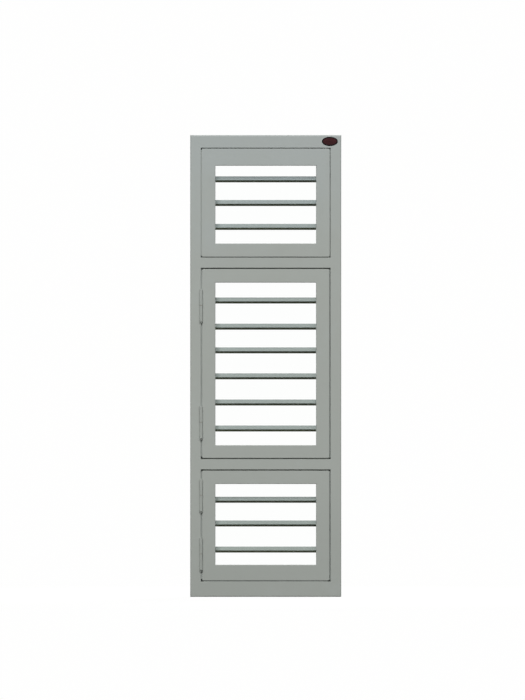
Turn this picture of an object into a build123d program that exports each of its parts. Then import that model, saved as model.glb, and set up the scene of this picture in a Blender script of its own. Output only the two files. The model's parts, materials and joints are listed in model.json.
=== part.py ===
from build123d import *
import os

# One-leaf-wide french window of pressed steel, in millimetres. It stands in a wall opening: a fixed light
# at the top, a tall leaf in the middle and a short leaf at the bottom, one above the other, with guard
# bars behind them. X runs to the right, Y runs inwards from the street side and Z runs up. The origin is
# on the underside of the sill, at the middle of its width and depth.

# Outer frame
frame_width = 690.0
frame_height = 2110.0
frame_depth = 100.0
frame_sheet = 1.6
frame_arris = 5.0

# Visible faces of the frame members
jamb_face = 49.0
head_face = 58.5
sill_face = 69.5
transom_face = 47.5

# Bevel on the front edges round the frame's lights, and outside and inside each sash
edge_bevel = 1.3

# Step that the leaves close against
rebate_depth = 40.0
stop_width = 20.0

# Lips that the wall side of the jambs and head turns back to, with the channel open between them
wall_lip = 22.0

# Clear heights between the frame members; the middle light takes what is left
top_light_height = 501.0
bottom_light_height = 512.0

# Glass margins: from the edge of the frame's face to the opening of the sash
side_margin = 65.0
top_light_margins = (63.5, 80.0)
middle_leaf_margins = (63.0, 66.0)
bottom_leaf_margins = (76.0, 65.0)

# Sashes
sash_sheet = 1.4
sash_corner = 7.0
leaf_depth = 35.0
leaf_gap = 5.0
fixed_gap = 3.0
glass_seat = 20.0
glazing_rebate = 12.0
glass_thickness = 4.0
glass_bite = 8.0
bead_depth = 9.0
bead_joint = 0.3

# Guard bars: square tube turned about its length, so that its upper front face is the broader one
bar_side = 21.0
bar_turn = 31.0
bar_sheet = 1.5
bar_corner = 1.0
bar_setback = 69.0

# Height of each guard bar below the member above it, as a share of its light's clear height
top_light_bars = (0.285, 0.501, 0.719)
middle_light_bars = (0.170, 0.307, 0.431, 0.567, 0.704, 0.840)
bottom_light_bars = (0.271, 0.483, 0.716)

# Lift-off barrel hinges: a knuckle with its pin on the jamb, a barrel on the leaf
hinge_from_edge = 49.4
hinge_radius = 6.75
hinge_stand_off = 1.25
knuckle_length = 73.0
barrel_length = 73.0
hinge_tip_length = 9.0
hinge_tip_radius = 4.2
pin_radius = 4.0
pin_length = 58.0
pin_chamfer = 1.0
pin_clearance = 0.05
hinge_split_gap = 0.5
barrel_chamfer = 1.2
weld_root_width = 2.2
weld_root_inset = 0.6

# Where each leaf's two hinges part: below the member above the leaf, and above the one under it
middle_leaf_hinges = (171.5, 168.5)
bottom_leaf_hinges = (117.5, 126.5)

# Fastener on the inside of each leaf's lock stile
fastener_plate = (22.0, 110.0, 4.0)
fastener_plate_corner = 7.0
fastener_boss_radius = 9.0
fastener_boss_height = 8.0
lever_length = 88.0
lever_root_radius = 8.5
lever_tip_radius = 4.5
lever_thickness = 5.0
lever_edge = 1.0
fastener_clearance = 7.0

# Screw holes through the rebate of each jamb
screw_hole_radius = 4.5
screw_rows = 4
lowest_screw_height = 200.0
highest_screw_drop = 230.0

# Places that follow from the sizes
half_width = frame_width / 2
front = -frame_depth / 2
back = frame_depth / 2
rebate = front + rebate_depth
bottom_light = (sill_face, sill_face + bottom_light_height)
top_light = (frame_height - head_face - top_light_height, frame_height - head_face)
middle_light = (bottom_light[1] + transom_face, top_light[0] - transom_face)
lights = (top_light, middle_light, bottom_light)
hinge_x = -half_width + hinge_from_edge
hinge_y = front - hinge_radius - hinge_stand_off


def save(shape, name):
    """Write one piece, or like pieces on one body, under its name."""
    export_step(shape, f"parts/{name}.step")


def slab(rect, y0, y1, corner=0.0):
    """A plate over a front-view rectangle (x0, x1, z0, z1), from depth y0 to depth y1."""
    x0, x1, z0, z1 = rect
    place = Plane(origin=((x0 + x1) / 2, y0, (z0 + z1) / 2), x_dir=(1, 0, 0), z_dir=(0, 1, 0))
    if corner > 0:
        outline = RectangleRounded(x1 - x0, z1 - z0, corner)
    else:
        outline = Rectangle(x1 - x0, z1 - z0)
    return extrude(place * outline, amount=y1 - y0)


def inset(rect, margins):
    """A front-view rectangle pulled in by its left, right, bottom and top margins."""
    x0, x1, z0, z1 = rect
    left, right, bottom, top = margins
    return (x0 + left, x1 - right, z0 + bottom, z1 - top)


def grown(margins, amount):
    """All four margins made larger by the same amount."""
    return tuple(margin + amount for margin in margins)


def light_rect(light):
    """The front-view rectangle of a light, from jamb to jamb."""
    return (-half_width + jamb_face, half_width - jamb_face, *light)


def mouth(rect):
    """The tapered cut that bevels the front edges round an opening."""
    x0, x1, z0, z1 = inset(rect, (-edge_bevel,) * 4)
    place = Plane(origin=((x0 + x1) / 2, front, (z0 + z1) / 2), x_dir=(1, 0, 0), z_dir=(0, 1, 0))
    return extrude(place * Rectangle(x1 - x0, z1 - z0), amount=edge_bevel, taper=45)


def pressed_ring(rect, margins, step, depths, sheet, corner, soften, arris):
    """A four-sided frame of folded sheet, hollow, whose opening steps by a stop or a glazing rebate.

    The margins are the widths of the members at the front. Behind the middle one of the three depths
    they grow by the step, or shrink where it is negative. The outer front edges are softened by the
    arris, with a fillet or a chamfer.
    """
    y_front, y_step, y_back = depths
    body = slab(rect, y_front, y_back, corner)
    body = soften(body.faces().sort_by(Axis.Y)[0].edges(), arris)
    body -= slab(inset(rect, margins), y_front, y_step)
    body -= slab(inset(rect, grown(margins, step)), y_step, y_back)

    inner_step = y_step + (sheet if step > 0 else -sheet)
    skin = (sheet, sheet, sheet, sheet)
    hollow = slab(inset(rect, skin), y_front + sheet, y_back - sheet, max(corner - sheet, 0.0))
    if arris > 2 * sheet:
        hollow = fillet(hollow.faces().sort_by(Axis.Y)[0].edges(), arris - sheet)
    hollow -= slab(inset(rect, grown(margins, -sheet)), y_front, inner_step)
    hollow -= slab(inset(rect, grown(margins, step - sheet)), inner_step, y_back)
    return body - hollow


def mitred_members(ring, rect, margins, reach):
    """The left, right, bottom and top members of a ring, cut apart from its outer to its inner corners."""
    x0, x1, z0, z1 = rect
    far = tuple(margin * reach for margin in margins)
    u0, u1, w0, w1 = inset(rect, far)
    outlines = {
        "left": [(x0, z0), (u0, w0), (u0, w1), (x0, z1)],
        "right": [(x1, z0), (x1, z1), (u1, w1), (u1, w0)],
        "bottom": [(x0, z0), (x1, z0), (u1, w0), (u0, w0)],
        "top": [(x0, z1), (u0, w1), (u1, w1), (x1, z1)],
    }
    members = {}
    for side, points in outlines.items():
        outline = Plane.XZ * make_face(Polyline(*points, close=True))
        members[side] = ring & extrude(outline, amount=frame_depth, both=True)
    return members


def frame_members():
    """The four mitred members of the outer frame, with the wall side open and the screw holes drilled."""
    rect = (-half_width, half_width, 0.0, frame_height)
    margins = (jamb_face, jamb_face, sill_face, head_face)
    depths = (front, rebate, back)
    ring = pressed_ring(rect, margins, stop_width, depths, frame_sheet, 0.0, fillet, frame_arris)
    for light in lights:
        ring -= mouth(light_rect(light))

    channel = slab((-frame_width, frame_width, sill_face, 2 * frame_height), front + wall_lip, back - wall_lip)
    channel -= slab(
        (-half_width + frame_sheet, half_width - frame_sheet, 0.0, frame_height - frame_sheet),
        front + wall_lip,
        back - wall_lip,
    )
    ring -= channel

    drill_length = frame_width - 2 * jamb_face + 4 * frame_sheet
    drill = Cylinder(screw_hole_radius, drill_length, rotation=(0, 90, 0))
    pitch = (frame_height - highest_screw_drop - lowest_screw_height) / (screw_rows - 1)
    for row in range(screw_rows):
        ring -= Pos(0, (front + rebate) / 2, lowest_screw_height + row * pitch) * drill

    reach = 1.05 + stop_width / min(margins)
    return mitred_members(ring, rect, margins, reach)


def transom(z0, z1):
    """A hollow cross member with a rebate above and below, closed by the jambs at its ends."""
    inner = half_width - jamb_face
    stop = inner - stop_width
    body = slab((-inner, inner, z0, z1), front, rebate)
    for light in lights:
        body -= mouth(light_rect(light))
    body += slab((-stop, stop, z0 - stop_width, z1 + stop_width), rebate, back)
    body -= slab((-inner, inner, z0 + frame_sheet, z1 - frame_sheet), front + frame_sheet, rebate + frame_sheet)
    body -= slab(
        (-stop, stop, z0 - stop_width + frame_sheet, z1 + stop_width - frame_sheet),
        rebate + frame_sheet,
        back - frame_sheet,
    )
    return body


def bars(light, shares):
    """The guard bars of one light, welded between the stops of the jambs."""
    half_length = half_width - jamb_face - stop_width
    section = chamfer(Rectangle(bar_side, bar_side).vertices(), bar_corner)
    section -= Rectangle(bar_side - 2 * bar_sheet, bar_side - 2 * bar_sheet)
    tube = extrude(Plane.YZ * Rot(0, 0, -bar_turn) * section, amount=half_length, both=True)
    heights = [light[1] - share * (light[1] - light[0]) for share in shares]
    return Compound([Pos(0, front + bar_setback, height) * tube for height in heights])


def glazing_bead(rebated, opening, y):
    """Four lengths of bead between the glazing rebate and the opening: two upright, two cut between them."""
    x0, x1, z0, z1 = rebated
    u0, u1, w0, w1 = opening
    lengths = (
        (x0, u0, z0, z1),
        (u1, x1, z0, z1),
        (u0 + bead_joint, u1 - bead_joint, z0, w0),
        (u0 + bead_joint, u1 - bead_joint, w1, z1),
    )
    return Compound([slab(length, y, y + bead_depth) for length in lengths])


def sash(prefix, light, margins, gap, depth):
    """The members, pane and glazing bead of one sash, by node name."""
    rect = inset(light_rect(light), (gap, gap, gap, gap))
    bottom, top = margins
    widths = grown((side_margin, side_margin, bottom, top), -gap)
    seat = front + glass_seat
    depths = (front, seat, front + depth)
    ring = pressed_ring(rect, widths, -glazing_rebate, depths, sash_sheet, sash_corner, chamfer, edge_bevel)
    opening = inset(rect, widths)
    ring -= mouth(opening)
    members = mitred_members(ring, rect, widths, 1.05)

    rebated = inset(rect, grown(widths, -glazing_rebate))
    pane = slab(inset(opening, (-glass_bite,) * 4), seat, seat + glass_thickness)
    bead = glazing_bead(rebated, opening, seat + glass_thickness)
    return {
        f"{prefix}_stile_left": members["left"],
        f"{prefix}_stile_right": members["right"],
        f"{prefix}_rail_bottom": members["bottom"],
        f"{prefix}_rail_top": members["top"],
        f"{prefix}_pane": pane,
        f"{prefix}_bead": bead,
    }


def hinge_knuckle():
    """The jamb's half of a hinge: knuckle, pin above it, tip below it and the root of its weld."""
    knuckle = Pos(0, 0, -knuckle_length / 2) * Cylinder(hinge_radius, knuckle_length)
    pin = Pos(0, 0, pin_length / 2) * Cylinder(pin_radius, pin_length)
    pin = chamfer(pin.edges().sort_by(Axis.Z)[-1], pin_chamfer)
    tip = Pos(0, 0, -knuckle_length - hinge_tip_length / 2) * Cone(
        hinge_tip_radius / 2, hinge_tip_radius, hinge_tip_length
    )
    face = front - hinge_y
    jamb_edge = -half_width + jamb_face - hinge_x
    root_x = (jamb_edge - weld_root_inset - weld_root_width - hinge_radius / 2, jamb_edge - weld_root_inset)
    root = slab((*root_x, -knuckle_length, 0.0), 0.0, face)
    return knuckle + pin + tip + root


def hinge_barrel():
    """The leaf's half of a hinge, bored to turn on the pin, with the root of its weld."""
    middle = hinge_split_gap + barrel_length / 2
    barrel = Pos(0, 0, middle) * Cylinder(hinge_radius, barrel_length)
    barrel = chamfer(barrel.edges().sort_by(Axis.Z)[-1], barrel_chamfer)
    face = front - hinge_y
    leaf_edge = -half_width + jamb_face + leaf_gap - hinge_x
    root_x = (leaf_edge + weld_root_inset, leaf_edge + weld_root_inset + weld_root_width)
    root = slab((*root_x, hinge_split_gap, hinge_split_gap + barrel_length - barrel_chamfer), 0.0, face)
    bore_depth = pin_length + pin_chamfer
    bore = Pos(0, 0, bore_depth / 2) * Cylinder(pin_radius + pin_clearance, bore_depth)
    return barrel + root - bore


def fastener(light):
    """The inside fastener of a leaf: plate, boss and hanging lever, cast in one."""
    width, height, thickness = fastener_plate
    x = half_width - jamb_face - stop_width - fastener_clearance - width / 2
    y = front + leaf_depth
    z = (light[0] + light[1]) / 2
    outline = (x - width / 2, x + width / 2, z - height / 2, z + height / 2)
    plate = slab(outline, y, y + thickness, fastener_plate_corner)
    inwards = Plane(origin=(x, y, z), x_dir=(1, 0, 0), z_dir=(0, 1, 0))
    boss = extrude(inwards * Circle(fastener_boss_radius), amount=fastener_boss_height)
    ends = Circle(lever_root_radius).edges() + (Pos(0, lever_length) * Circle(lever_tip_radius)).edges()
    lever = extrude(inwards * make_hull(ends), amount=lever_thickness)
    lever = chamfer(lever.faces().sort_by(Axis.Y)[-1].edges(), lever_edge)
    return plate + boss + Pos(0, fastener_boss_height, 0) * lever


for side, member in frame_members().items():
    name = {"left": "frame_jamb_left", "right": "frame_jamb_right", "bottom": "frame_sill", "top": "frame_head"}
    save(member, name[side])

save(transom(bottom_light[1], middle_light[0]), "transom_lower")
save(transom(middle_light[1], top_light[0]), "transom_upper")
save(bars(top_light, top_light_bars), "bars_top_light")
save(bars(middle_light, middle_light_bars), "bars_middle_light")
save(bars(bottom_light, bottom_light_bars), "bars_bottom_light")

for piece, shape in sash("top_light", top_light, top_light_margins, fixed_gap, rebate_depth).items():
    save(shape, piece)

leaves = {
    "middle_leaf": (middle_light, middle_leaf_margins, middle_leaf_hinges),
    "bottom_leaf": (bottom_light, bottom_leaf_margins, bottom_leaf_hinges),
}
for leaf, (light, margins, (drop, rise)) in leaves.items():
    for piece, shape in sash(leaf, light, margins, leaf_gap, leaf_depth).items():
        save(shape, piece)
    save(fastener(light), f"{leaf}_fastener")
    for place, height in (("top", light[1] - drop), ("low", light[0] + rise)):
        at = Pos(hinge_x, hinge_y, height)
        save(at * hinge_knuckle(), f"{leaf}_hinge_{place}_knuckle")
        save(at * hinge_barrel(), f"{leaf}_hinge_{place}_barrel")
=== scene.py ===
"""Looks of a pressed-steel french window: a fixed top light, two hinged leaves and their guard bars."""

import json
import logging
import math
from collections.abc import Callable, Iterable, Iterator
from contextlib import contextmanager
from dataclasses import dataclass
from enum import Enum

import bmesh
import bpy
from mathutils import Matrix, Vector


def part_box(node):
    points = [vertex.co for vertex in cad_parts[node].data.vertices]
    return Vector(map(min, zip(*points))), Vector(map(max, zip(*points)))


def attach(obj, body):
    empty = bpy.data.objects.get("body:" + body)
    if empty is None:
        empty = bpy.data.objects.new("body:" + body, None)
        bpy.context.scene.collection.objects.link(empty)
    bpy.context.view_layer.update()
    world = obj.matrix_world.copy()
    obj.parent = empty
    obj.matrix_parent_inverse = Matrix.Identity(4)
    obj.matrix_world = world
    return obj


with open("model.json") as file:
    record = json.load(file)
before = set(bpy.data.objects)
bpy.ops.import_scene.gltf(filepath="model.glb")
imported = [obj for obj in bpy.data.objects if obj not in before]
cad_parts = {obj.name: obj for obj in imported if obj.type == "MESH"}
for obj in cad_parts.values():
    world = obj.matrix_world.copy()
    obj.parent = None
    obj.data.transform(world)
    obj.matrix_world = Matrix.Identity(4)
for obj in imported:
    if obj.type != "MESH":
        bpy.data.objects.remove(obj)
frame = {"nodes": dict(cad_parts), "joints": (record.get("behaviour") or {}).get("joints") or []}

log = logging.getLogger("french_window")

MM = 0.001
WINDOW_HEIGHT = 2110 * MM
FRAME_MEMBERS = ("frame_head", "frame_sill", "frame_jamb_left", "frame_jamb_right")
SASH_MEMBERS = ("stile_left", "stile_right", "rail_top", "rail_bottom")
HINGE_PLACES = ("top", "low")

# How a piece that is made standing on Z is laid against the window.
TO_STREET = Matrix.Rotation(math.pi / 2, 4, "X")
TO_ROOM = Matrix.Rotation(-math.pi / 2, 4, "X")

# Shares of a size or of a unit direction.
NEARLY_ALL = 0.99
MOST = 0.9
LITTLE = 0.1

# Edges flatter than this many degrees are shaded smooth.
SMOOTH = 35.0
SMOOTH_WELD = 50.0

# How many flat sides a turned piece has.
TURNED = 32

Colour = tuple[float, float, float, float]
Triple = tuple[float, float, float]
Box = tuple[Vector, Vector]
Test = Callable[[Vector, Vector], bool]
Socket = bpy.types.NodeSocket
Material = bpy.types.Material


class Body(Enum):
    """The three bodies of the window."""

    FRAME = "frame"
    MIDDLE_LEAF = "middle_leaf"
    BOTTOM_LEAF = "bottom_leaf"


class Slot(Enum):
    """The record's material slots, which some added pieces name when they are dressed."""

    FRAME_PAINT = "frame_paint"
    SASH_PAINT = "sash_paint"
    HINGE_PAINT = "hinge_paint"
    FASTENER_METAL = "fastener_metal"


def linear(red: float, green: float, blue: float) -> Colour:
    """A colour for a shader from screen values of 0 to 255.

    Args:
        red: Red on screen.
        green: Green on screen.
        blue: Blue on screen.

    Returns:
        The same colour as linear light, with an alpha of 1.
    """
    shares = (channel / 255 for channel in (red, green, blue))
    light = (x / 12.92 if x <= 0.04045 else ((x + 0.055) / 1.055) ** 2.4 for x in shares)
    return (*light, 1.0)


def shaded(colour: Colour, factor: float) -> Colour:
    """The colour made darker or paler by a factor, up to full light."""
    return (*(min(1.0, channel * factor) for channel in colour[:3]), 1.0)


class Signal:
    """A number that varies over a surface. Arithmetic on it adds Math nodes."""

    def __init__(self, graph: "Graph", socket: Socket) -> None:
        """Wrap an output socket of a graph."""
        self.graph = graph
        self.socket = socket

    def math(self, operation: str, *others: "Signal | float") -> "Signal":
        """Add one Math node that works on this value and the others.

        Args:
            operation: The Math node's operation.
            others: Its second and third inputs.

        Returns:
            The node's result.
        """
        inputs = dict(enumerate((self, *others)))
        return self.graph.signal("ShaderNodeMath", {"operation": operation}, inputs)

    def __add__(self, other: "Signal | float") -> "Signal":
        """This value plus the other."""
        return self.math("ADD", other)

    __radd__ = __add__

    def __mul__(self, other: "Signal | float") -> "Signal":
        """This value times the other."""
        return self.math("MULTIPLY", other)

    __rmul__ = __mul__

    def __sub__(self, other: "Signal | float") -> "Signal":
        """This value less the other."""
        return self.math("SUBTRACT", other)

    def __rsub__(self, other: float) -> "Signal":
        """The other value less this one."""
        return self * -1.0 + other

    def __truediv__(self, other: "Signal | float") -> "Signal":
        """This value over the other."""
        return self.math("DIVIDE", other)

    def __abs__(self) -> "Signal":
        """This value without its sign."""
        return self.math("ABSOLUTE")

    def least(self, other: "Signal | float") -> "Signal":
        """The smaller of two values at each point."""
        return self.math("MINIMUM", other)

    def ramp(self, start: float, end: float, low: float = 0.0, high: float = 1.0) -> "Signal":
        """Turn the span from start to end into low to high, held at both ends.

        Args:
            start: The value that gives low.
            end: The value that gives high.
            low: The result up to start.
            high: The result from end on.

        Returns:
            The remapped value.
        """
        settings = {"interpolation_type": "SMOOTHSTEP"}
        inputs = {"Value": self, "From Min": start, "From Max": end, "To Min": low, "To Max": high}
        return self.graph.signal("ShaderNodeMapRange", settings, inputs, "Result")


class Graph:
    """The nodes of one material, or of the world."""

    def __init__(self, owner: Material | bpy.types.World) -> None:
        """Empty the nodes of a material or world.

        Args:
            owner: The material or world.
        """
        self.owner = owner
        owner.use_nodes = True
        self.tree = owner.node_tree
        self.tree.nodes.clear()

    @classmethod
    def material(cls, name: str) -> "Graph":
        """Start an empty material."""
        return cls(bpy.data.materials.new(name))

    def node(self, kind: str, settings: dict | None = None, inputs: dict | None = None) -> bpy.types.Node:
        """Add one node of any type.

        Args:
            kind: The node's type.
            settings: Its own properties, set before its sockets.
            inputs: A value, a signal or a socket for each input, by name or number.

        Returns:
            The new node.
        """
        made = self.tree.nodes.new(kind)
        for name, value in (settings or {}).items():
            setattr(made, name, value)
        for key, value in (inputs or {}).items():
            source = value.socket if isinstance(value, Signal) else value
            if isinstance(source, Socket):
                self.tree.links.new(source, made.inputs[key])
            else:
                made.inputs[key].default_value = source
        return made

    def signal(self, kind: str, settings: dict, inputs: dict, output: str | int = 0) -> Signal:
        """Add a node and return one of its outputs as a value to calculate with."""
        return Signal(self, self.node(kind, settings, inputs).outputs[output])

    def place(self) -> Socket:
        """The point on the surface, in metres in the window's own frame."""
        return self.node("ShaderNodeTexCoord").outputs["Object"]

    def axes(self) -> tuple[Signal, ...]:
        """The point's x, y and z as values."""
        split = self.node("ShaderNodeSeparateXYZ", {}, {"Vector": self.place()})
        return tuple(Signal(self, split.outputs[axis]) for axis in range(3))

    def facing_down(self) -> Signal:
        """How far the surface faces the ground, from 1 straight down to -1 straight up."""
        normal = self.node("ShaderNodeNewGeometry").outputs["True Normal"]
        return Signal(self, self.node("ShaderNodeSeparateXYZ", {}, {"Vector": normal}).outputs[2]) * -1.0

    def noise(self, size: float, detail: float = 2.0, stretch: Triple = (1, 1, 1)) -> Signal:
        """Soft random variation from 0 to 1.

        Args:
            size: The width of its patches, in metres.
            detail: How many finer layers it has.
            stretch: How much finer it is along each axis.

        Returns:
            The variation.
        """
        stretched = {"Vector": self.place(), "Scale": stretch}
        where = self.node("ShaderNodeMapping", {"vector_type": "POINT"}, stretched).outputs[0]
        inputs = {"Vector": where, "Scale": 1.0 / size, "Detail": detail}
        return self.signal("ShaderNodeTexNoise", {}, inputs, "Fac")

    def blend(self, share: Signal, first: Colour | Socket, second: Colour | Socket) -> Socket:
        """Mix two colours.

        Args:
            share: How much of the second shows, from 0 to 1.
            first: A colour or a colour socket.
            second: A colour or a colour socket.

        Returns:
            The mixed colour's socket.
        """
        settings = {"data_type": "RGBA", "clamp_factor": True}
        return self.node("ShaderNodeMix", settings, {0: share, 6: first, 7: second}).outputs[2]

    def bump(self, height: Signal, depth: float, below: Socket | None = None) -> Socket:
        """Tilt the surface by a height that goes from 0 to 1.

        Args:
            height: The height at each point.
            depth: What a height of 1 is, in metres.
            below: The normal that this relief lies on.

        Returns:
            The new normal's socket.
        """
        inputs = {"Height": height, "Distance": depth, "Strength": 1.0}
        if below is not None:
            inputs["Normal"] = below
        return self.node("ShaderNodeBump", {}, inputs).outputs["Normal"]

    def finish(self, inputs: dict) -> Material:
        """Close the material with a Principled shader.

        Args:
            inputs: A value, a signal or a socket for each of the shader's inputs, by name.

        Returns:
            The finished material.
        """
        shader = self.node("ShaderNodeBsdfPrincipled", {}, inputs)
        self.node("ShaderNodeOutputMaterial", {}, {"Surface": shader.outputs[0]})
        return self.owner


@dataclass(frozen=True)
class Mitres:
    """The four welded corner joints of a framed piece, as lines on its face."""

    low: Vector
    high: Vector
    side: float
    bottom: float
    top: float
    full_to: float = 1.3
    gone_by: float = 1.32

    def ridge(self, graph: Graph, width: float) -> Signal:
        """Show where the ground welds run.

        Args:
            graph: The material's nodes.
            width: The width of a weld's trace.

        Returns:
            1 along the joints and 0 away from them.
        """
        across, _, up = graph.axes()
        middle = (self.low.x + self.high.x) / 2
        inwards = (self.high.x - self.low.x) / 2 - abs(across - middle)
        traces = []
        for rise, margin in ((up - self.low.z, self.bottom), (self.high.z - up, self.top)):
            length = math.hypot(self.side, margin)
            off_line = abs(inwards * (margin / length) - rise * (self.side / length))
            near_corner = rise.ramp(self.full_to * margin, self.gone_by * margin, 1.0, 0.0)
            traces.append(off_line.ramp(0.0, width / 2, 1.0, 0.0) * near_corner)
        return traces[0] + traces[1]


@dataclass(frozen=True)
class Paint:
    """Satin paint on pressed steel, with the fine orange peel of a sprayed and baked coat."""

    name: str
    # Painted shade: the paint is paler and bluer at the top and darker and greener towards the window's
    # foot, for light falling from above.
    upper: Colour = linear(161, 167, 165)
    lower: Colour = linear(160, 164.5, 159)
    foot: Colour = linear(156, 160.5, 155)
    tone_change: tuple[float, float] = (0.6, 1.05)
    tone_drift: float = 0.35
    foot_change: tuple[float, float] = (0.02, 0.28)
    foot_drift: float = 0.1
    cloud: float = 220 * MM
    patch: float = 45 * MM
    grain: float = 1.6 * MM
    mottle: float = 0.045
    mottle_reach: float = 0.9
    mottle_share: float = 0.5
    roughness: float = 0.43
    shine: float = 0.32
    peel: float = 5 * MM
    peel_depth: float = 0.012 * MM
    wave: float = 160 * MM
    wave_depth: float = 0.25 * MM
    mitres: Mitres | None = None
    weld_width: float = 7 * MM
    weld_ripple: float = 9 * MM
    weld_depth: float = 0.09 * MM
    # Painted shade: faces turned to the ground take this darker colour, standing in for the shade under
    # them.
    underside_shade: Colour | None = None
    underside_shade_change: tuple[float, float] = (0.74, 0.82)
    # Painted shade: a dark band on either side of each hinge split, where the two knuckles meet.
    split_shade_heights: tuple[float, ...] = ()
    split_shade: Colour = linear(66, 68, 61)
    split_shade_core: float = 0.64 * MM
    split_shade_reach: float = 3.2 * MM
    split_shade_share: float = 0.4

    def colour(self, graph: Graph, patches: Signal, grain: Signal) -> Socket:
        """Grade the paint paler towards the top and darker towards the window's foot as painted shade,
        mottle it, and add painted shade on faces turned to the ground and round the hinge splits.

        Args:
            graph: The material's nodes.
            patches: Variation over a few centimetres.
            grain: Variation over a millimetre or two.

        Returns:
            The colour's socket.
        """
        up = graph.axes()[2]
        clouds = graph.noise(self.cloud, 3.0)
        level = up / WINDOW_HEIGHT
        # Painted shade: paler towards the top, darker towards the foot.
        drift = (level + (clouds - 0.5) * self.tone_drift).ramp(*self.tone_change)
        rise = (level + (clouds - 0.5) * self.foot_drift).ramp(*self.foot_change)
        toned = graph.blend(rise, self.foot, graph.blend(drift, self.lower, self.upper))

        shade = (clouds - 0.5) * 1.2 + (patches - 0.5) + (grain - 0.5) * 0.5
        dark = shaded(self.lower, 1 - 2 * self.mottle)
        pale = shaded(self.upper, 1 + 2 * self.mottle)
        for amount, tone in ((0.0 - shade, dark), (shade, pale)):
            share = amount.ramp(0.0, self.mottle_reach, 0.0, self.mottle_share)
            toned = graph.blend(share, toned, tone)
        # Painted shade on the faces that turn to the ground, standing in for the shade that falls under
        # them.
        if self.underside_shade is not None:
            bare = graph.facing_down().ramp(*self.underside_shade_change)
            toned = graph.blend(bare * (patches * 0.2 + 0.85), toned, self.underside_shade)
        # Painted shade round each hinge split, standing in for the dark gap between the knuckles.
        for height in self.split_shade_heights:
            trace = abs(up - height).ramp(self.split_shade_core, self.split_shade_reach, self.split_shade_share, 0.0)
            toned = graph.blend(trace * (patches * 0.6 + 0.7), toned, self.split_shade)
        return toned

    def material(self) -> Material:
        """Mix the paint.

        Returns:
            The paint's material.
        """
        graph = Graph.material(self.name)
        patches = graph.noise(self.patch, 4.0)
        grain = graph.noise(self.grain, 1.0)
        gloss = (patches - 0.5) * 0.12 + (grain - 0.5) * 0.05 + self.roughness
        normal = graph.bump(graph.noise(self.wave, 1.0), self.wave_depth)
        normal = graph.bump(graph.noise(self.peel, 2.0), self.peel_depth, normal)
        if self.mitres is not None:
            seam = self.mitres.ridge(graph, self.weld_width)
            uneven = graph.noise(self.weld_ripple, 2.0)
            normal = graph.bump(seam * (uneven * 0.7 + 0.3), self.weld_depth, normal)
            gloss = gloss + seam * 0.05
        return graph.finish({
            "Base Color": self.colour(graph, patches, grain),
            "Roughness": gloss,
            "Specular IOR Level": self.shine,
            "Normal": normal,
        })


@dataclass(frozen=True)
class Metal:
    """Bare or plated metal with fine brushing and tarnish."""

    name: str
    tone: Colour
    tarnish: Colour
    roughness: float
    tarnish_change: tuple[float, float] = (0.35, 0.75)
    cloud: float = 12 * MM
    grain: float = 0.7 * MM
    stretch: Triple = (1.0, 1.0, 0.08)
    depth: float = 0.006 * MM

    def material(self) -> Material:
        """Work the metal.

        Returns:
            The metal's material.
        """
        graph = Graph.material(self.name)
        brushing = graph.noise(self.grain, 2.0, self.stretch)
        cloud = graph.noise(self.cloud, 4.0)
        return graph.finish({
            "Base Color": graph.blend(cloud.ramp(*self.tarnish_change), self.tone, self.tarnish),
            "Metallic": 1.0,
            "Roughness": (cloud - 0.5) * 0.25 + (brushing - 0.5) * 0.1 + self.roughness,
            "Normal": graph.bump(brushing, self.depth),
        })


@dataclass(frozen=True)
class Compound:
    """Rubber, sealant or enamel: an even coat with a faint texture of its own."""

    name: str
    tone: Colour
    worn: Colour
    roughness: float
    shine: float
    wear_change: tuple[float, float] = (0.3, 0.9)
    cloud: float = 30 * MM
    grain: float = 0.9 * MM
    depth: float = 0.03 * MM

    def material(self) -> Material:
        """Mix the compound.

        Returns:
            The compound's material.
        """
        graph = Graph.material(self.name)
        grain = graph.noise(self.grain, 3.0)
        cloud = graph.noise(self.cloud, 3.0)
        wear = (cloud + (grain - 0.5) * 0.4).ramp(*self.wear_change)
        return graph.finish({
            "Base Color": graph.blend(wear, self.tone, self.worn),
            "Roughness": (cloud - 0.5) * 0.15 + (grain - 0.5) * 0.08 + self.roughness,
            "Specular IOR Level": self.shine,
            "Normal": graph.bump(grain, self.depth),
        })


@dataclass(frozen=True)
class Glazing:
    """Clear float glass, which lets lamplight through and mirrors more at a slant."""

    name: str
    tint: Colour = (0.995, 0.998, 0.996, 1.0)
    mirror: Colour = (0.9, 0.92, 0.91, 1.0)
    face_on: float = 0.004
    at_a_slant: float = 0.7
    steepness: float = 5.0
    roughness: float = 0.02
    film: float = 60 * MM
    film_roughness: float = 0.03
    ripple: float = 180 * MM
    ripple_depth: float = 0.15 * MM

    def material(self) -> Material:
        """Cast the glass.

        Returns:
            The glass's material.
        """
        graph = Graph.material(self.name)
        slant = graph.signal("ShaderNodeLayerWeight", {}, {"Blend": 0.5}, "Facing")
        share = slant.math("POWER", self.steepness) * self.at_a_slant + self.face_on
        clear = graph.node("ShaderNodeBsdfTransparent", {}, {"Color": self.tint}).outputs[0]
        glossy = {
            "Base Color": self.mirror,
            "Roughness": graph.noise(self.film, 3.0) * self.film_roughness + self.roughness,
            "Metallic": 1.0,
            "Normal": graph.bump(graph.noise(self.ripple, 1.0), self.ripple_depth),
        }
        shine = graph.node("ShaderNodeBsdfPrincipled", {}, glossy).outputs[0]
        mixed = graph.node("ShaderNodeMixShader", {}, {0: share, 1: clear, 2: shine})
        graph.node("ShaderNodeOutputMaterial", {}, {"Surface": mixed.outputs[0]})
        return graph.owner


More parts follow.
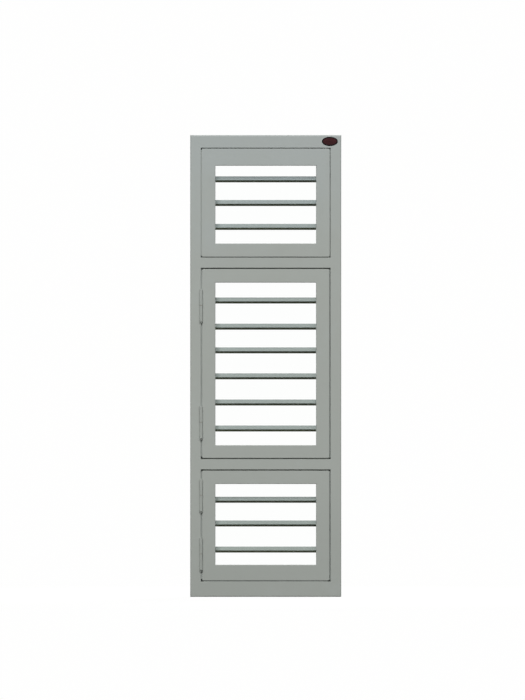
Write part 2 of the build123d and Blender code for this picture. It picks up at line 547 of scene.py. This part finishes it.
class Workpiece:
    """A mesh that is shaped from a primitive with Blender's own operators."""

    def __init__(self, name: str) -> None:
        """Take over the primitive that was just added, with its place put into its mesh.

        Args:
            name: The piece's name.
        """
        bpy.ops.object.transform_apply(location=True, rotation=True, scale=True)
        self.thing = bpy.context.object
        self.thing.name = self.thing.data.name = name

    @staticmethod
    def clear() -> None:
        """Deselect every object."""
        bpy.ops.object.select_all(action="DESELECT")

    @classmethod
    def block(cls, name: str, low: Vector, high: Vector) -> "Workpiece":
        """Start from a block.

        Args:
            name: The piece's name.
            low: Its lowest corner.
            high: Its highest corner.

        Returns:
            The workpiece.
        """
        cls.clear()
        bpy.ops.mesh.primitive_cube_add(size=1.0, location=(low + high) / 2, scale=high - low)
        return cls(name)

    @classmethod
    def sheet(cls, name: str, low: Vector, high: Vector) -> "Workpiece":
        """Start from a flat upright rectangle that faces the street.

        Args:
            name: The piece's name.
            low: Its lowest corner, which gives its depth.
            high: Its highest corner.

        Returns:
            The workpiece.
        """
        cls.clear()
        middle = Vector(((low.x + high.x) / 2, low.y, (low.z + high.z) / 2))
        bpy.ops.mesh.primitive_plane_add(size=1.0, location=middle, rotation=(math.pi / 2, 0.0, 0.0))
        bpy.context.object.scale = (high.x - low.x, high.z - low.z, 1.0)
        return cls(name)

    @classmethod
    def disc(cls, name: str, radius: float, height: float, sides: int) -> "Workpiece":
        """Start from a short cylinder that stands on the origin, along Z.

        Args:
            name: The piece's name.
            radius: Its radius.
            height: Its height.
            sides: How many flat sides it has.

        Returns:
            The workpiece.
        """
        cls.clear()
        bpy.ops.mesh.primitive_cylinder_add(
            vertices=sides, radius=radius, depth=height, end_fill_type="NGON", location=(0, 0, height / 2)
        )
        return cls(name)

    def choose(self) -> None:
        """Make this the one selected and active object."""
        self.clear()
        self.thing.select_set(True)
        bpy.context.view_layer.objects.active = self.thing

    @contextmanager
    def editing(self) -> Iterator[None]:
        """Open the mesh for editing with nothing selected, and close it again."""
        self.choose()
        bpy.ops.object.mode_set(mode="EDIT")
        bpy.ops.mesh.select_all(action="DESELECT")
        yield
        bpy.ops.object.mode_set(mode="OBJECT")

    def pick_faces(self, test: Test) -> None:
        """Select some of the faces.

        Args:
            test: What their centre and normal have to pass.
        """
        bpy.ops.mesh.select_all(action="DESELECT")
        bpy.ops.mesh.select_mode(type="FACE")
        form = bmesh.from_edit_mesh(self.thing.data)
        for face in [f for f in form.faces if test(f.calc_center_median(), f.normal)]:
            face.select_set(True)
        bmesh.update_edit_mesh(self.thing.data)

    def pick_edges(self, test: Test) -> None:
        """Select some of the edges.

        Args:
            test: What their midpoint and direction have to pass.
        """
        bpy.ops.mesh.select_all(action="DESELECT")
        bpy.ops.mesh.select_mode(type="EDGE")
        form = bmesh.from_edit_mesh(self.thing.data)
        for edge in form.edges:
            start, end = (corner.co for corner in edge.verts)
            if test((start + end) / 2, (end - start).normalized()):
                edge.select_set(True)
        bmesh.update_edit_mesh(self.thing.data)

    def pull(self, offset: Vector) -> None:
        """Extrude the selected faces."""
        bpy.ops.mesh.extrude_region_move(TRANSFORM_OT_translate={"value": offset})

    def inset(self, width: float, depth: float = 0.0) -> None:
        """Inset the selected faces."""
        bpy.ops.mesh.inset(thickness=width, depth=depth)

    def round_edges(self, width: float, segments: int = 3) -> None:
        """Bevel the selected edges."""
        bpy.ops.mesh.bevel(offset=width, segments=segments, profile=0.5, affect="EDGES")

    def border(self, width: float, middle: Test, offset: Vector) -> None:
        """Make a sheet a strip round its own edge, and pull it to its thickness.

        Args:
            width: How far the strip reaches inwards.
            middle: What the face inside the strip passes, and the strip's faces don't.
            offset: How far the strip is pulled, and where to.
        """
        self.pick_faces(lambda *_: True)
        self.inset(width)
        self.pick_faces(middle)
        bpy.ops.mesh.delete(type="FACE")
        self.pick_faces(lambda *_: True)
        self.pull(offset)

    def face_outwards(self) -> None:
        """Turn every face's front outwards."""
        bpy.ops.mesh.select_all(action="SELECT")
        bpy.ops.mesh.normals_make_consistent(inside=False)

    def cut(self, cutter: "Workpiece") -> None:
        """Cut another workpiece out of this one and throw it away.

        Args:
            cutter: The other workpiece.
        """
        self.choose()
        modifier = self.thing.modifiers.new("cut", "BOOLEAN")
        modifier.operation = "DIFFERENCE"
        modifier.solver = "EXACT"
        modifier.object = cutter.thing
        bpy.ops.object.modifier_apply(modifier=modifier.name)
        cutter.discard()

    def discard(self) -> None:
        """Remove the object and its mesh."""
        mesh = self.thing.data
        bpy.data.objects.remove(self.thing)
        bpy.data.meshes.remove(mesh)

    def turn(self, place: Matrix) -> "Workpiece":
        """Move the mesh, and keep the object at the origin.

        Args:
            place: Where it goes, from where it lies.

        Returns:
            The same workpiece.
        """
        self.thing.data.transform(place)
        self.thing.data.update()
        return self

    def copies(self, places: Iterable[Matrix]) -> "Workpiece":
        """Put a copy with its own mesh at each place and join them to one piece.

        Args:
            places: Where the copies go, from where the pattern lies.

        Returns:
            The joined piece, under the pattern's name.
        """
        name = self.thing.name
        made = []
        for place in places:
            copy = self.thing.copy()
            copy.data = self.thing.data.copy()
            copy.data.transform(place)
            bpy.context.collection.objects.link(copy)
            made.append(copy)
        self.discard()
        self.clear()
        for copy in made:
            copy.select_set(True)
        bpy.context.view_layer.objects.active = made[0]
        if len(made) > 1:
            bpy.ops.object.join()
        self.thing = bpy.context.object
        self.thing.name = self.thing.data.name = name
        return self

    def dress(
        self, material: Material, body: Body, slot: Slot | None = None, smooth: float = SMOOTH
    ) -> None:
        """Finish the piece: shading, material and body.

        Args:
            material: What it is made of.
            body: The body that it moves with.
            slot: The record's slot for its finish, if it has one; not used.
            smooth: Edges flatter than this many degrees are shaded smooth.
        """
        self.choose()
        bpy.ops.object.shade_smooth_by_angle(angle=math.radians(smooth))
        self.thing.data.materials.clear()
        self.thing.data.materials.append(material)
        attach(self.thing, body.value)
        log.info("%s rides on %s with %d faces", self.thing.name, body.value, len(self.thing.data.polygons))


def paint_node(node: str, material: Material) -> None:
    """Give a frame node its material.

    Args:
        node: The node's name.
        material: What it is made of.
    """
    mesh = frame["nodes"][node].data
    mesh.materials.clear()
    mesh.materials.append(material)
    log.info("%s is finished as %s", node, material.name)


def reach(nodes: Iterable[str]) -> Box:
    """The box round several nodes.

    Args:
        nodes: The nodes' names.

    Returns:
        Its lowest and highest corner.
    """
    boxes = [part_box(node) for node in nodes]
    low = Vector(min(box[0][axis] for box in boxes) for axis in range(3))
    high = Vector(max(box[1][axis] for box in boxes) for axis in range(3))
    return low, high


def levels(node: str, gap: float) -> list[float]:
    """The middle heights of the separate rods in one node.

    Args:
        node: The node's name.
        gap: The least space between two rods.

    Returns:
        One height a rod, from the lowest.
    """
    heights = sorted(corner.co.z for corner in frame["nodes"][node].data.vertices)
    groups = [[heights[0]]]
    for height in heights[1:]:
        if height - groups[-1][-1] > gap:
            groups.append([])
        groups[-1].append(height)
    return [(group[0] + group[-1]) / 2 for group in groups]


def spread(start: float, end: float, pitch: float) -> list[float]:
    """Places spread evenly over a span, with half a space at each end.

    Args:
        start: Where the span starts.
        end: Where it ends.
        pitch: About how far apart the places are.

    Returns:
        Two places or more.
    """
    count = max(2, round((end - start) / pitch))
    return [start + (end - start) * (step + 0.5) / count for step in range(count)]


@dataclass(frozen=True)
class Weld:
    """A rippled bead of weld, whose rings dip between the ripples and close in at its ends."""

    radius: float
    ripple: float
    sides: int = 8
    dip: float = 0.82
    tip: float = 0.55

    def bead(self, name: str, length: float) -> Workpiece:
        """A bead along Z, centred on the origin.

        Args:
            name: The piece's name.
            length: The bead's length.

        Returns:
            The workpiece.
        """
        bead = Workpiece.disc(name, self.radius, length, self.sides)
        ripples = max(2, round(length / self.ripple))
        step = length / (2 * ripples)
        with bead.editing():
            bead.pick_edges(lambda _, way: abs(way.z) > MOST)
            bpy.ops.mesh.subdivide(number_cuts=2 * ripples - 1)
            for ring in range(0, 2 * ripples + 1, 2):
                height = ring * step
                bead.pick_edges(lambda at, way: abs(at.z - height) < step / 4 and abs(way.z) < LITTLE)
                shrink = self.tip if ring in (0, 2 * ripples) else self.dip
                bpy.ops.transform.resize(value=(shrink, shrink, 1.0), center_override=(0.0, 0.0, height))
        return bead.turn(Matrix.Translation((0, 0, -length / 2)))


@dataclass(frozen=True)
class Screw:
    """A screw with a low domed head and a cross recess, given by the width of its arms."""

    radius: float
    dome: float
    recess: float
    sides: int = 20

    def row(self, name: str, spots: Iterable[tuple[Triple, float]]) -> Workpiece:
        """Model one head and set copies of it that stand out towards the room.

        Args:
            name: The piece's name.
            spots: Where each head sits, and how far its recess is turned, in radians.

        Returns:
            The workpiece.
        """
        head = Workpiece.disc(name, self.radius, self.dome, self.sides)
        with head.editing():
            head.pick_edges(lambda at, _: at.z > NEARLY_ALL * self.dome)
            head.round_edges(0.62 * self.dome)
        arm = 1.2 * self.radius
        for along, across in ((arm, self.recess), (self.recess, arm)):
            low = Vector((-along / 2, -across / 2, 0.35 * self.dome))
            high = Vector((along / 2, across / 2, 2 * self.dome))
            head.cut(Workpiece.block("recess", low, high))
        return head.copies(
            Matrix.Translation(spot) @ TO_ROOM @ Matrix.Rotation(turn, 4, "Z") for spot, turn in spots
        )


@dataclass(frozen=True)
class Ring:
    """A strip round an upright rectangle, which stands out towards the street from the low corner."""

    low: Vector
    high: Vector
    width: float
    thickness: float

    def inwards(self, at: Vector) -> float:
        """How far a point lies inside the strip's outer outline."""
        return min(at.x - self.low.x, self.high.x - at.x, at.z - self.low.z, self.high.z - at.z)

    def build(self, name: str, rounding: float, segments: int, outer: bool) -> Workpiece:
        """Model the strip with its front edges rounded.

        Args:
            name: The piece's name.
            rounding: How far the rounding reaches from an edge.
            segments: How many flats it has.
            outer: Whether the outer edges are rounded as well as the inner ones.

        Returns:
            The workpiece.
        """
        front = self.low.y - MOST * self.thickness
        outside = LITTLE * self.width
        inside = MOST * self.width
        ring = Workpiece.sheet(name, self.low, self.high)
        with ring.editing():
            offset = Vector((0, -self.thickness, 0))
            ring.border(self.width, lambda at, _: self.inwards(at) > self.width, offset)
            ring.pick_edges(
                lambda at, _: at.y < front
                and (self.inwards(at) > inside or outer and self.inwards(at) < outside)
            )
            ring.round_edges(rounding, segments)
            ring.face_outwards()
        return ring


@dataclass(frozen=True)
class Finishes:
    """Every material of the window, made once."""

    seal: Material
    sealant: Material
    glass: Material
    hardware: Material
    screws: Material
    brass: Material
    enamel: Material
    rim: Material
    edge_seal: Material
    hinges: Material
    bars: Material

    @classmethod
    def make(cls) -> "Finishes":
        """Build the materials.

        Returns:
            The set of finishes.
        """
        splits = tuple(
            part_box(f"{leaf.value}_hinge_{place}_barrel")[0].z
            for leaf in (Body.MIDDLE_LEAF, Body.BOTTOM_LEAF)
            for place in HINGE_PLACES
        )
        finishes = {
            "seal": Compound("seal_rubber", linear(38, 40, 40), linear(58, 60, 58), 0.78, shine=0.25),
            "sealant": Compound(
                "glazing_sealant", linear(172, 176, 173), linear(160, 164, 160), 0.6, shine=0.3
            ),
            "glass": Glazing("clear_glass"),
            "hardware": Metal("cast_aluminium", linear(196, 198, 200), linear(158, 160, 162), 0.42),
            "screws": Metal("zinc_plate", linear(188, 190, 186), linear(140, 138, 126), 0.3),
            "brass": Metal("brass", linear(196, 168, 104), linear(140, 112, 62), 0.3),
            "enamel": Compound("maroon_enamel", linear(46, 16, 19), linear(58, 22, 25), 0.4, shine=0.12),
            "rim": Compound("dark_rim", linear(9, 8, 9), linear(16, 14, 15), 0.5, shine=0.04),
            "edge_seal": Compound(
                "grey_seal_rubber", linear(148, 153, 149), linear(134, 139, 134), 0.8, shine=0.2
            ),
            # Painted shade round the hinge splits.
            "hinges": Paint("hinge_paint", peel_depth=0.02 * MM, wave_depth=0.0, split_shade_heights=splits),
            # Painted shade: the bars' paint is the frame's paint made about a fifth darker, offsetting the
            # extra lamplight on their upturned faces.
            "bars": Paint(
                "bar_paint",
                upper=linear(147, 156, 157),
                lower=linear(148, 156, 153),
                foot=linear(148, 156, 151),
                # Painted shade on the downward faces of the bars and their welds.
                underside_shade=linear(82, 89, 62),
                mottle=0.02,
                shine=0.05,
                wave_depth=0.05 * MM,
            ),
        }
        return cls(**{use: finish.material() for use, finish in finishes.items()})


@dataclass
class OuterFrame:
    """The fixed frame: jambs, head, sill and transoms."""

    finishes: Finishes
    jamb_face: float = 49 * MM
    sill_face: float = 69.5 * MM
    head_face: float = 58.5 * MM
    plate_centre: tuple[float, float] = (293 * MM, 2081.5 * MM)
    plate_size: tuple[float, float] = (73 * MM, 42 * MM)
    plate_thickness: float = 1.4 * MM
    plate_rim: float = 5.0 * MM
    plate_sides: int = 72
    field_steps: tuple[tuple[float, float], ...] = ((3 * MM, 0.1 * MM), (6 * MM, 0.06 * MM))

    def build(self) -> None:
        """Finish the frame's members and add the blank plate."""
        low, high = reach(FRAME_MEMBERS)
        mitres = Mitres(low, high, self.jamb_face, self.sill_face, self.head_face)
        paint = Paint("frame_paint", mitres=mitres).material()
        for node in FRAME_MEMBERS:
            paint_node(node, paint)
        cross = Paint("transom_paint").material()
        for node in ("transom_upper", "transom_lower"):
            paint_node(node, cross)
        self.blank_plate(low.y)

    def blank_plate(self, face: float) -> None:
        """A bare oval plate at the upper right corner.

        Args:
            face: The depth of the frame's front face.
        """
        half_width, half_height = (size / 2 for size in self.plate_size)
        thickness = self.plate_thickness
        sink = 0.5 * thickness
        layer = 0.35 * thickness
        across, up = self.plate_centre
        upright = Matrix.Translation((across, face, up)) @ TO_STREET

        oval = Matrix.Diagonal((half_width, half_height, 1.0, 1.0))
        rim = Workpiece.disc("blank_plate_rim", 1.0, thickness, self.plate_sides).turn(oval)
        with rim.editing():
            rim.pick_faces(lambda _, normal: normal.z > MOST)
            rim.inset(self.plate_rim)
            rim.pull(Vector((0, 0, -sink)))
            rim.pick_edges(lambda at, way: at.z > NEARLY_ALL * thickness and abs(way.z) < LITTLE)
            rim.round_edges(layer, 2)
        rim.turn(upright).dress(self.finishes.rim, Body.FRAME)

        oval = Matrix.Diagonal((half_width - self.plate_rim, half_height - self.plate_rim, 1.0, 1.0))
        rise = Matrix.Translation((0, 0, sink))
        field = Workpiece.disc("blank_plate_field", 1.0, layer, self.plate_sides).turn(rise @ oval)
        with field.editing():
            field.pick_faces(lambda _, normal: normal.z > MOST)
            for width, height in self.field_steps:
                field.inset(width, height)
        field.turn(upright).dress(self.finishes.enamel, Body.FRAME)


@dataclass
class GuardBars:
    """The square tubes behind each light and the welds that hold their ends."""

    finishes: Finishes
    side: float = 21 * MM
    turn: float = 31.0
    weld: Weld = Weld(2.6 * MM, 2.4 * MM)

    def build(self) -> None:
        """Finish the bars of all three lights and weld them in."""
        for light in ("top_light", "middle_light", "bottom_light"):
            node = f"bars_{light}"
            paint_node(node, self.finishes.bars)
            self.welds(node)

    def welds(self, node: str) -> None:
        """Run a bead round both ends of each bar of one node.

        Args:
            node: The node's name.
        """
        low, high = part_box(node)
        depth = (low.y + high.y) / 2
        bead = self.weld.bead(f"{node}_welds", self.side)
        places = []
        for height in levels(node, self.side):
            for end in (low.x, high.x):
                middle = Matrix.Translation((end, depth, height))
                for quarter in range(4):
                    turned = Matrix.Rotation(math.radians(90 * quarter - self.turn), 4, "X")
                    places.append(middle @ turned @ Matrix.Translation((0, self.side / 2, 0)))
        bead.copies(places).dress(self.finishes.bars, Body.FRAME, Slot.FRAME_PAINT, SMOOTH_WELD)


@dataclass(frozen=True)
class Seam:
    """The strip in a sash's seam: its section, and how far behind the face it lies on each side."""

    width: float
    depth: float
    left: float
    right: float
    bottom: float
    top: float


@dataclass
class Sash:
    """One glazed sash: its members, pane, beads and sealant."""

    prefix: str
    body: Body
    finishes: Finishes
    side: float
    bottom: float
    top: float
    glass_bite: float = 8 * MM
    sealant_leg: float = 1.0 * MM
    bead_screw: Screw = Screw(2.9 * MM, 1.5 * MM, 0.9 * MM)
    bead_screw_pitch: float = 170 * MM
    bead_screw_inset: float = 6 * MM
    bead_screw_turn: float = 0.7
    corner: float = 7 * MM
    corner_flats: int = 6

    def node(self, part: str) -> str:
        """The full name of one of the sash's nodes."""
        return f"{self.prefix}_{part}"

    def outline(self) -> Box:
        """The box round the sash's four members."""
        return reach(self.node(part) for part in SASH_MEMBERS)

    def build(self) -> None:
        """Finish the sash's nodes and add its sealant and bead screws."""
        low, high = self.outline()
        mitres = Mitres(low, high, self.side, self.bottom, self.top)
        paint = Paint(f"{self.prefix}_paint", mitres=mitres).material()
        for part in SASH_MEMBERS:
            paint_node(self.node(part), paint)
        paint_node(self.node("bead"), Paint(f"{self.prefix}_bead_paint").material())
        paint_node(self.node("pane"), self.finishes.glass)
        self.sealant()
        self.bead_screws()

    def sealant(self) -> None:
        """A sloped fillet of sealant between the pane and the sash."""
        low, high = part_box(self.node("pane"))
        inwards = Vector((self.glass_bite, 0, self.glass_bite))
        leg = self.sealant_leg
        fillet = Ring(low + inwards, high - inwards, leg, leg)
        piece = fillet.build(self.node("sealant"), MOST * leg, segments=2, outer=False)
        piece.dress(self.finishes.sealant, self.body, Slot.SASH_PAINT)

    def seam_strip(self, part: str, seam: Seam) -> None:
        """A strip round the sash's outer edges, a little behind its face, with square steps at its corners.

        Args:
            part: The piece's short name.
            seam: The strip's sizes.
        """
        low, high = self.outline()
        reach_out = Vector((seam.width, 0, seam.width))
        low, high = low - reach_out, high + reach_out
        deepest = max(seam.left, seam.right, seam.bottom, seam.top)
        low.y += deepest
        middle = Vector(((low.x + high.x) / 2, low.y, (low.z + high.z) / 2))
        half = seam.width / 2
        lengths = (
            (Vector((low.x + half, low.y, middle.z)), seam.left),
            (Vector((high.x - half, low.y, middle.z)), seam.right),
            (Vector((middle.x, low.y, low.z + half)), seam.bottom),
            (Vector((middle.x, low.y, high.z - half)), seam.top),
        )
        strip = Workpiece.sheet(self.node(part), low, high)
        with strip.editing():
            bpy.ops.mesh.select_mode(type="VERT")
            bpy.ops.mesh.select_all(action="SELECT")
            bpy.ops.mesh.bevel(
                offset=self.corner + seam.width, segments=self.corner_flats, profile=0.5, affect="VERTICES"
            )
            offset = Vector((0, seam.depth, 0))
            strip.border(seam.width, lambda at, _: (at - middle).length < self.corner, offset)
            for spot, drop in lengths:
                if drop < deepest:
                    strip.pick_faces(lambda at, _: (at - spot).length < LITTLE * seam.width)
                    strip.pull(Vector((0, drop - deepest, 0)))
            strip.face_outwards()
        strip.dress(self.finishes.edge_seal, self.body)

    def bead_screws(self) -> None:
        """Small screws along the middle of the glazing beads, on the inside."""
        low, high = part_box(self.node("bead"))
        inset = self.bead_screw_inset
        left, right, foot, top = low.x + inset, high.x - inset, low.z + inset, high.z - inset
        spots = [(x, z) for x in spread(left, right, self.bead_screw_pitch) for z in (foot, top)]
        spots += [(x, z) for z in spread(foot, top, self.bead_screw_pitch) for x in (left, right)]
        turned = (((x, high.y, z), self.bead_screw_turn * number) for number, (x, z) in enumerate(spots))
        self.bead_screw.row(self.node("bead_screws"), turned).dress(self.finishes.screws, self.body)


@dataclass
class FixedSash:
    """The top light: a sash that is bedded in its opening with a painted joint."""

    sash: Sash
    joint: Seam = Seam(2.9 * MM, 3 * MM, left=1.2 * MM, right=10 * MM, bottom=15 * MM, top=10 * MM)

    def build(self) -> None:
        """Build the sash and its joint."""
        self.sash.build()
        self.sash.seam_strip("joint", self.joint)


@dataclass
class HingedLeaf:
    """A sash that opens: its hinges, fastener and the seal that it closes on."""

    sash: Sash
    seal_width: float = 9 * MM
    seal_clearance: float = 0.3 * MM
    seal_overlap: float = 2 * MM
    stop_face: float = -10 * MM
    edge_seal: Seam = Seam(4.3 * MM, 5 * MM, left=1.0 * MM, right=11 * MM, bottom=7 * MM, top=11 * MM)
    leaf_gap: float = 5 * MM
    half_length: float = 73 * MM
    weld: Weld = Weld(1.5 * MM, 2.6 * MM)
    weld_root: float = 2.8 * MM
    weld_sink: float = 0.3
    pin_radius: float = 4.05 * MM
    washer_radius: float = 5.2 * MM
    washer: float = 0.4 * MM
    plate_height: float = 110 * MM
    plate_thickness: float = 4 * MM
    plate_screw: Screw = Screw(3.4 * MM, 1.7 * MM, 1.0 * MM)
    plate_screw_drop: float = 9 * MM
    plate_screw_turn: float = 0.4
    cap_radius: float = 5 * MM
    cap_height: float = 1.5 * MM

    def build(self) -> None:
        """Build the sash, its seals, its hinges' details and its fastener's screws."""
        self.sash.build()
        self.seal()
        self.sash.seam_strip("edge_seal", self.edge_seal)
        self.hinges()
        self.fastener()

    def seal(self) -> None:
        """A rubber strip on the stops, just behind the leaf's edges."""
        low, high = self.sash.outline()
        thickness = self.stop_face - high.y - self.seal_clearance
        inwards = Vector((self.seal_overlap, 0, self.seal_overlap))
        low, high = low + inwards, high - inwards
        low.y = self.stop_face
        strip = Ring(low, high, self.seal_width, thickness)
        piece = strip.build(self.sash.node("seal"), 0.45 * thickness, segments=3, outer=True)
        piece.dress(self.sash.finishes.seal, Body.FRAME)

    def hinges(self) -> None:
        """Paint both hinges, and add their washers and a bead of weld along each half."""
        joint = next(joint for joint in frame["joints"] if joint["child"] == self.sash.body.value)
        axis = Vector(joint["pos_m"])
        splits = []
        for place in HINGE_PLACES:
            knuckle, barrel = (self.sash.node(f"hinge_{place}_{half}") for half in ("knuckle", "barrel"))
            paint_node(knuckle, self.sash.finishes.hinges)
            paint_node(barrel, self.sash.finishes.hinges)
            splits.append(Vector((axis.x, axis.y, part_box(barrel)[0].z)))
        self.washers(splits)

        edge = self.sash.outline()[0]
        root = self.weld_root + self.weld_sink * self.weld.radius
        quarter = self.half_length / 2
        for part, body, across, rise in (
            ("jamb_welds", Body.FRAME, edge.x - self.leaf_gap - root, -quarter),
            ("leaf_welds", self.sash.body, edge.x + root, quarter),
        ):
            bead = self.weld.bead(self.sash.node(f"hinge_{part}"), self.half_length - 4 * self.weld.radius)
            bead.copies(Matrix.Translation((across, edge.y, split.z + rise)) for split in splits)
            bead.dress(self.sash.finishes.hinges, body, Slot.HINGE_PAINT, SMOOTH_WELD)

    def washers(self, splits: list[Vector]) -> None:
        """A thin brass washer where the two halves of each hinge meet.

        Args:
            splits: The lowest middle point of each barrel.
        """
        washer = Workpiece.disc(self.sash.node("hinge_washers"), self.washer_radius, self.washer, TURNED)
        with washer.editing():
            washer.pick_faces(lambda _, normal: abs(normal.z) > MOST)
            washer.inset(self.washer_radius - self.pin_radius)
            near = LITTLE * self.pin_radius
            washer.pick_faces(lambda at, normal: abs(normal.z) > MOST and at.to_2d().length < near)
            bpy.ops.mesh.bridge_edge_loops()
        places = [Matrix.Translation(split - Vector((0, 0, self.washer))) for split in splits]
        washer.copies(places).dress(self.sash.finishes.brass, Body.FRAME)

    def fastener(self) -> None:
        """Finish the inside fastener and add its plate screws and its pivot's cap."""
        node = self.sash.node("fastener")
        paint_node(node, self.sash.finishes.hardware)
        low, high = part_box(node)
        middle = (low.x + high.x) / 2
        plate_face = self.sash.outline()[1].y + self.plate_thickness
        heights = (high.z - self.plate_screw_drop, high.z - self.plate_height + self.plate_screw_drop)
        spots = (((middle, plate_face, height), self.plate_screw_turn + height) for height in heights)
        screws = self.plate_screw.row(self.sash.node("fastener_screws"), spots)
        screws.dress(self.sash.finishes.screws, self.sash.body)

        cap = Workpiece.disc(self.sash.node("fastener_pivot"), self.cap_radius, self.cap_height, TURNED)
        with cap.editing():
            cap.pick_edges(lambda at, _: at.z > NEARLY_ALL * self.cap_height)
            cap.round_edges(0.6 * self.cap_height)
        cap.turn(Matrix.Translation((middle, high.y, high.z - self.plate_height / 2)) @ TO_ROOM)
        cap.dress(self.sash.finishes.hardware, self.sash.body, Slot.FASTENER_METAL)


@dataclass(frozen=True)
class Lamp:
    """A square soft lamp, which glossy surfaces may mirror or not."""

    name: str
    place: Triple
    size: float
    power: float
    mirrored: bool = True

    def light(self, target: Vector) -> None:
        """Set the lamp up, turned to a point.

        Args:
            target: The point.
        """
        bpy.ops.object.light_add(type="AREA", location=self.place)
        lamp = bpy.context.object
        lamp.name = f"{self.name}_lamp"
        lamp.data.shape = "SQUARE"
        lamp.data.size = self.size
        lamp.data.energy = self.power
        lamp.visible_glossy = self.mirrored
        lamp.rotation_euler = (target - Vector(self.place)).to_track_quat("-Z", "Y").to_euler()


@dataclass
class Studio:
    """The camera, the lamps, the floor and the background."""

    distance: float = 60.0
    picture_height: float = 3.199
    aim: tuple[float, float] = (-0.0148, 1.128)
    sensor: float = 36.0
    lamps: tuple[Lamp, ...] = (
        Lamp("key", (-3.0, -22.0, 19.0), 14.0, 8260.0),
        Lamp("fill", (11.0, -22.0, 15.0), 11.0, 1000.0),
        Lamp("back", (4.0, 9.0, 7.0), 5.0, 2000.0, mirrored=False),
    )
    ambient: Colour = (0.06, 0.062, 0.06, 1.0)
    page: Colour = (0.995, 0.995, 0.993, 1.0)
    bounce: Colour = (0.05, 0.05, 0.05, 1.0)
    floor_drop: float = 0.5 * MM
    floor_glow: float = 0.95
    shadow_reach: tuple[float, float] = (1.2, 3.0)

    def build(self) -> None:
        """Set up the whole studio."""
        scene = bpy.context.scene
        scene.view_settings.view_transform = "Standard"
        self.camera(scene)
        for lamp in self.lamps:
            lamp.light(Vector((0.0, 0.0, self.aim[1])))
        self.world(scene)
        self.floor()

    def camera(self, scene: bpy.types.Scene) -> None:
        """A long lens, level with the window's middle, straight in front of it.

        Args:
            scene: The scene that takes the camera.
        """
        front = reach(["frame_sill"])[0].y
        place = (self.aim[0], front - self.distance, self.aim[1])
        bpy.ops.object.camera_add(location=place, rotation=(math.pi / 2, 0.0, 0.0))
        camera = bpy.context.object
        camera.data.sensor_width = self.sensor
        camera.data.lens = self.sensor * self.distance / self.picture_height
        camera.data.clip_end = 10 * self.distance
        scene.camera = camera

    @staticmethod
    def seen(graph: Graph) -> Signal:
        """Tell which rays show the background itself: to the camera, in a mirror or through glass.

        Args:
            graph: The nodes of the floor or the world.

        Returns:
            1 for those rays and 0 for the others.
        """
        path = graph.node("ShaderNodeLightPath")
        kinds = ("Is Camera Ray", "Is Glossy Ray", "Is Transmission Ray")
        camera, glossy, through = (Signal(graph, path.outputs[kind]) for kind in kinds)
        return (camera + glossy + through).least(1.0)

    def world(self, scene: bpy.types.Scene) -> None:
        """A pale page behind the window, and weak light from all sides.

        Args:
            scene: The scene that takes the world.
        """
        scene.world = bpy.data.worlds.new("page")
        graph = Graph(scene.world)
        colour = graph.blend(self.seen(graph), self.ambient, self.page)
        back = graph.node("ShaderNodeBackground", {}, {"Color": colour, "Strength": 1.0})
        graph.node("ShaderNodeOutputWorld", {}, {"Surface": back.outputs[0]})

    def floor(self) -> None:
        """A plain floor that looks like the page and keeps a soft shadow."""
        Workpiece.clear()
        bpy.ops.mesh.primitive_plane_add(size=12 * self.distance, location=(0.0, 0.0, -self.floor_drop))
        floor = bpy.context.object
        floor.name = "floor"
        graph = Graph.material("pale_floor")
        dull = graph.node("ShaderNodeBsdfDiffuse", {}, {"Color": self.bounce}).outputs[0]
        glow, far = (
            graph.node("ShaderNodeEmission", {}, {"Color": self.page, "Strength": strength}).outputs[0]
            for strength in (self.floor_glow, 1.0)
        )
        near = graph.node("ShaderNodeAddShader", {}, {0: dull, 1: glow}).outputs[0]
        across, along, _ = graph.axes()
        away = (across * across + along * along).math("SQRT").ramp(*self.shadow_reach)
        shown = graph.node("ShaderNodeMixShader", {}, {0: away, 1: near, 2: far}).outputs[0]
        mixed = graph.node("ShaderNodeMixShader", {}, {0: self.seen(graph), 1: dull, 2: shown})
        graph.node("ShaderNodeOutputMaterial", {}, {"Surface": mixed.outputs[0]})
        floor.data.materials.append(graph.owner)


def main() -> None:
    """Build the window's looks in order."""
    logging.basicConfig(level=logging.INFO, format="%(name)s: %(message)s")
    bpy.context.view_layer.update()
    Studio().build()
    finishes = Finishes.make()
    OuterFrame(finishes).build()
    GuardBars(finishes).build()
    top = Sash("top_light", Body.FRAME, finishes, side=62 * MM, bottom=60.5 * MM, top=77 * MM)
    middle = Sash("middle_leaf", Body.MIDDLE_LEAF, finishes, side=60 * MM, bottom=58 * MM, top=61 * MM)
    bottom = Sash("bottom_leaf", Body.BOTTOM_LEAF, finishes, side=60 * MM, bottom=71 * MM, top=60 * MM)
    bottom_seal = Seam(4.3 * MM, 5 * MM, left=1.0 * MM, right=11 * MM, bottom=3 * MM, top=11 * MM)
    FixedSash(top).build()
    HingedLeaf(middle).build()
    HingedLeaf(bottom, edge_seal=bottom_seal).build()


if __name__ == "__main__":
    main()
